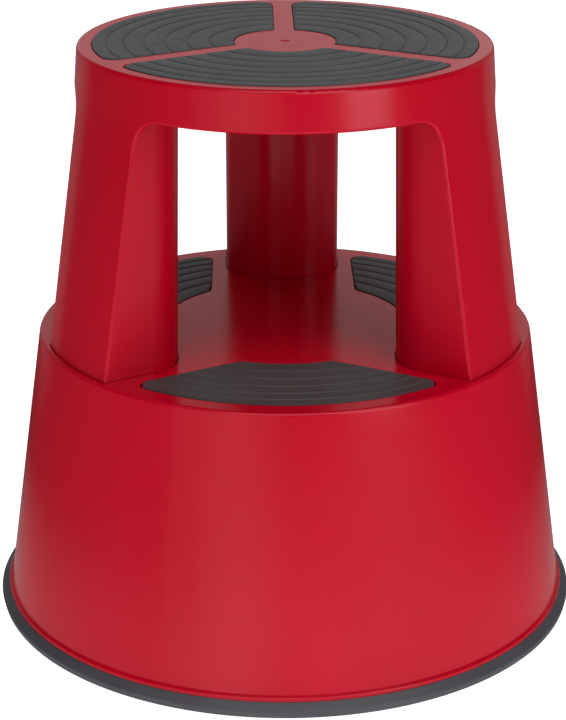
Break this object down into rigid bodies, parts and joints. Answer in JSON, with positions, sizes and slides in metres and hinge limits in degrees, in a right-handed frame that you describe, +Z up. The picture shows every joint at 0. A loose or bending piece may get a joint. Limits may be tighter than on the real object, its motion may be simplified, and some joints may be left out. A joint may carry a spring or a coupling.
{
  "type": "kick step stool",
  "caption": "Round plastic kick step stool with a lower step and an upper deck on hollow legs, rubber treads, a rubber floor ring and sprung castors that retract under load.",
  "frame": {"origin": "on the floor under the stool's axis, level with the lowest point of the three castor wheels", "axes": "+Z up along the stool's axis; -Y towards the open side between two legs; the third leg stands at +Y"},
  "size_m": [0.4397, 0.4396, 0.43],
  "materials": {
    "shell_plastic": "satin moulded red plastic",
    "tread_rubber": "matt grey rubber",
    "ring_rubber": "matt grey rubber",
    "castor_plastic": "moulded black plastic",
    "castor_steel": "zinc plated",
    "spring_steel": "drawn wire",
    "tyre_rubber": "matt rubber",
    "screw_steel": "zinc plated"
  },
  "bodies": {
    "root": {"upper_shell": "shell_plastic", "lower_shell": "shell_plastic", "bumper_ring": "ring_rubber", "top_pad_front": "tread_rubber", "top_pad_right": "tread_rubber", "top_pad_left": "tread_rubber", "step_pad_front": "tread_rubber", "step_pad_right": "tread_rubber", "step_pad_left": "tread_rubber", "castor_housing_front": "castor_plastic", "castor_housing_right": "castor_plastic", "castor_housing_left": "castor_plastic", "castor_spring_front": "spring_steel", "castor_spring_right": "spring_steel", "castor_spring_left": "spring_steel", "housing_screws": "screw_steel", "leg_screws": "screw_steel", "leg_washers": "screw_steel"},
    "plunger_front": {"castor_plunger_front": "castor_plastic"},
    "castor_front": {"castor_stem_front": "castor_steel", "castor_clip_front": "castor_steel", "castor_washer_front": "castor_plastic", "castor_fork_front": "castor_steel", "castor_axle_front": "castor_steel"},
    "wheel_front": {"castor_wheel_front": "castor_plastic", "castor_tyre_front": "tyre_rubber"},
    "plunger_right": {"castor_plunger_right": "castor_plastic"},
    "castor_right": {"castor_stem_right": "castor_steel", "castor_clip_right": "castor_steel", "castor_washer_right": "castor_plastic", "castor_fork_right": "castor_steel", "castor_axle_right": "castor_steel"},
    "wheel_right": {"castor_wheel_right": "castor_plastic", "castor_tyre_right": "tyre_rubber"},
    "plunger_left": {"castor_plunger_left": "castor_plastic"},
    "castor_left": {"castor_stem_left": "castor_steel", "castor_clip_left": "castor_steel", "castor_washer_left": "castor_plastic", "castor_fork_left": "castor_steel", "castor_axle_left": "castor_steel"},
    "wheel_left": {"castor_wheel_left": "castor_plastic", "castor_tyre_left": "tyre_rubber"}
  },
  "joints": [
    {"name": "castor_lift_front", "type": "slide", "parent": "root", "child": "plunger_front", "axis": [0, 0, 1], "range_m": [0, 0.008], "stiffness_N_per_m": 6000, "springref_m": -0.008, "deforming": ["castor_spring_front"]},
    {"name": "castor_swivel_front", "type": "hinge", "parent": "plunger_front", "child": "castor_front", "pos_m": [0, -0.15, 0.05], "axis": [0, 0, 1], "continuous": true},
    {"name": "wheel_spin_front", "type": "hinge", "parent": "castor_front", "child": "wheel_front", "pos_m": [0.015, -0.15, 0.02], "axis": [0, 1, 0], "continuous": true},
    {"name": "castor_lift_right", "type": "slide", "parent": "root", "child": "plunger_right", "axis": [0, 0, 1], "range_m": [0, 0.008], "stiffness_N_per_m": 6000, "springref_m": -0.008, "deforming": ["castor_spring_right"]},
    {"name": "castor_swivel_right", "type": "hinge", "parent": "plunger_right", "child": "castor_right", "pos_m": [0.1299, 0.075, 0.05], "axis": [0, 0, 1], "continuous": true},
    {"name": "wheel_spin_right", "type": "hinge", "parent": "castor_right", "child": "wheel_right", "pos_m": [0.1224, 0.08799, 0.02], "axis": [-0.866, -0.5, 0], "continuous": true},
    {"name": "castor_lift_left", "type": "slide", "parent": "root", "child": "plunger_left", "axis": [0, 0, 1], "range_m": [0, 0.008], "stiffness_N_per_m": 6000, "springref_m": -0.008, "deforming": ["castor_spring_left"]},
    {"name": "castor_swivel_left", "type": "hinge", "parent": "plunger_left", "child": "castor_left", "pos_m": [-0.1299, 0.075, 0.05], "axis": [0, 0, 1], "continuous": true},
    {"name": "wheel_spin_left", "type": "hinge", "parent": "castor_left", "child": "wheel_left", "pos_m": [-0.1374, 0.06201, 0.02], "axis": [0.866, -0.5, 0], "continuous": true}
  ]
}
